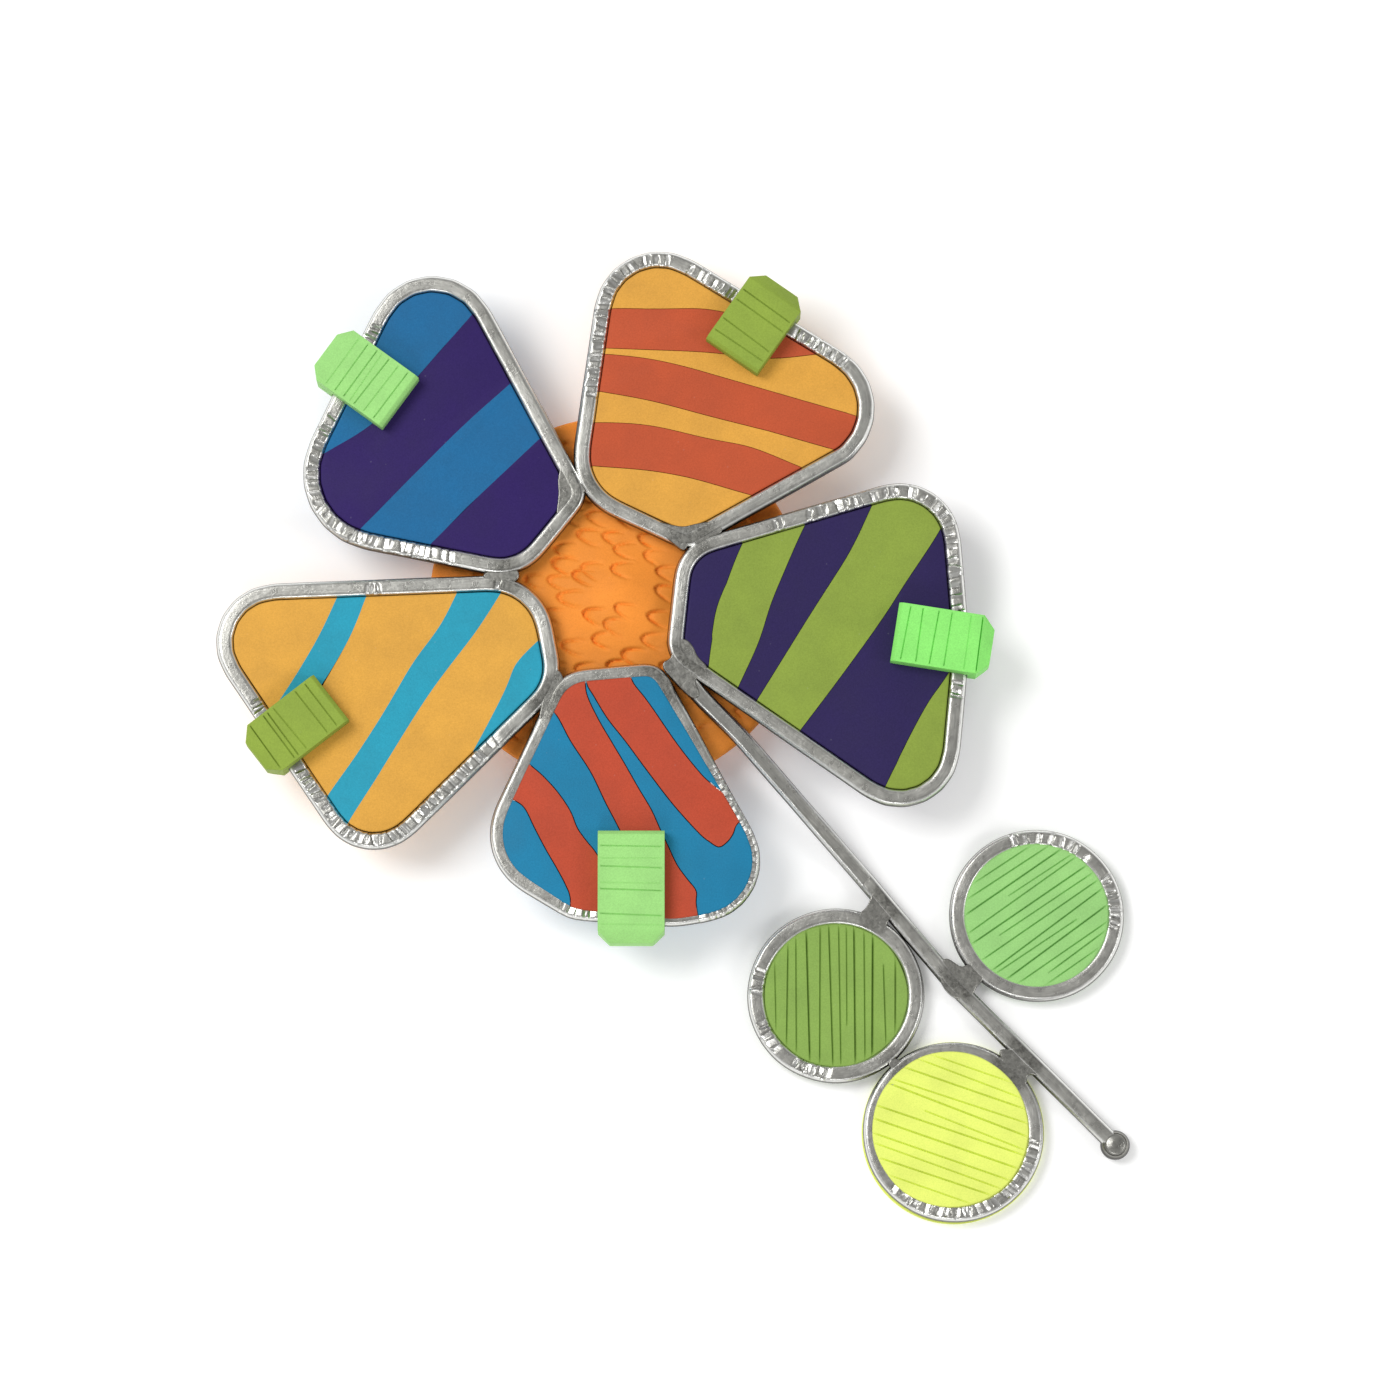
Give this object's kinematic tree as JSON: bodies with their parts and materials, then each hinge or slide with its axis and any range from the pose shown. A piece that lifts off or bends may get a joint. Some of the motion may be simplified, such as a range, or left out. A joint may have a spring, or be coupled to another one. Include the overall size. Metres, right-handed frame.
{
  "type": "flower brooch",
  "caption": "Flower brooch worn as a hat pin: patterned clay petals and leaves in filed steel wire frames on a wire stem, with a hinged pin and safety catch behind.",
  "frame": {"origin": "on the surface that the brooch lies on, under the middle of its outline", "axes": "+Z out of the flower's face, +Y up the flower and away from the stem, +X across the flower to the right as seen from the front"},
  "size_m": [0.0921, 0.0982, 0.0102],
  "materials": {
    "steel_wire": "filed satin",
    "nickel_plate": "satin nickel plate",
    "clay_orange": "matte",
    "clay_blue": "matte",
    "clay_purple": "matte",
    "clay_ochre": "matte",
    "clay_brick": "matte",
    "clay_violet": "matte",
    "clay_moss": "matte",
    "clay_mustard": "matte",
    "clay_teal": "matte",
    "clay_sea_blue": "matte",
    "clay_red": "matte",
    "clay_mint": "matte",
    "clay_olive": "matte",
    "clay_bright_green": "matte",
    "clay_leaf_green": "matte",
    "clay_pale_green": "matte",
    "clay_yellow_green": "matte"
  },
  "bodies": {
    "root": {"petal_1_rim": "steel_wire", "petal_1_back": "clay_blue", "petal_1_inlay": "clay_blue", "petal_1_strips": "clay_purple", "petal_1_tab": "clay_mint", "petal_2_rim": "steel_wire", "petal_2_back": "clay_ochre", "petal_2_inlay": "clay_ochre", "petal_2_strips": "clay_brick", "petal_2_tab": "clay_olive", "petal_3_rim": "steel_wire", "petal_3_back": "clay_violet", "petal_3_inlay": "clay_violet", "petal_3_strips": "clay_moss", "petal_3_tab": "clay_bright_green", "petal_4_rim": "steel_wire", "petal_4_back": "clay_mustard", "petal_4_inlay": "clay_mustard", "petal_4_strips": "clay_teal", "petal_4_tab": "clay_olive", "petal_5_rim": "steel_wire", "petal_5_back": "clay_sea_blue", "petal_5_inlay": "clay_sea_blue", "petal_5_strips": "clay_red", "petal_5_tab": "clay_mint", "leaf_1_ring": "steel_wire", "leaf_1_back": "clay_leaf_green", "leaf_1_disc": "clay_leaf_green", "leaf_2_ring": "steel_wire", "leaf_2_back": "clay_pale_green", "leaf_2_disc": "clay_pale_green", "leaf_3_ring": "steel_wire", "leaf_3_back": "clay_yellow_green", "leaf_3_disc": "clay_yellow_green", "stem_upper": "steel_wire", "stem_lower": "steel_wire", "stem_ball": "steel_wire", "petal_welds": "steel_wire", "stem_welds": "steel_wire", "flower_centre": "clay_orange", "pin_bar": "nickel_plate", "pin_rivet": "nickel_plate", "catch_housing": "nickel_plate"},
    "needle": {"pin_needle": "nickel_plate"},
    "safety_catch": {"catch_rotor": "nickel_plate"}
  },
  "joints": [
    {"name": "needle_swing", "type": "hinge", "parent": "root", "child": "needle", "pos_m": [-0.01964, 0.01968, 0.0018], "axis": [0, 1, 0], "range_deg": [0, 80]},
    {"name": "catch_turn", "type": "hinge", "parent": "root", "child": "safety_catch", "pos_m": [0.00761, 0.01968, 0.0018], "axis": [1, 0, 0], "range_deg": [0, 90]}
  ]
}
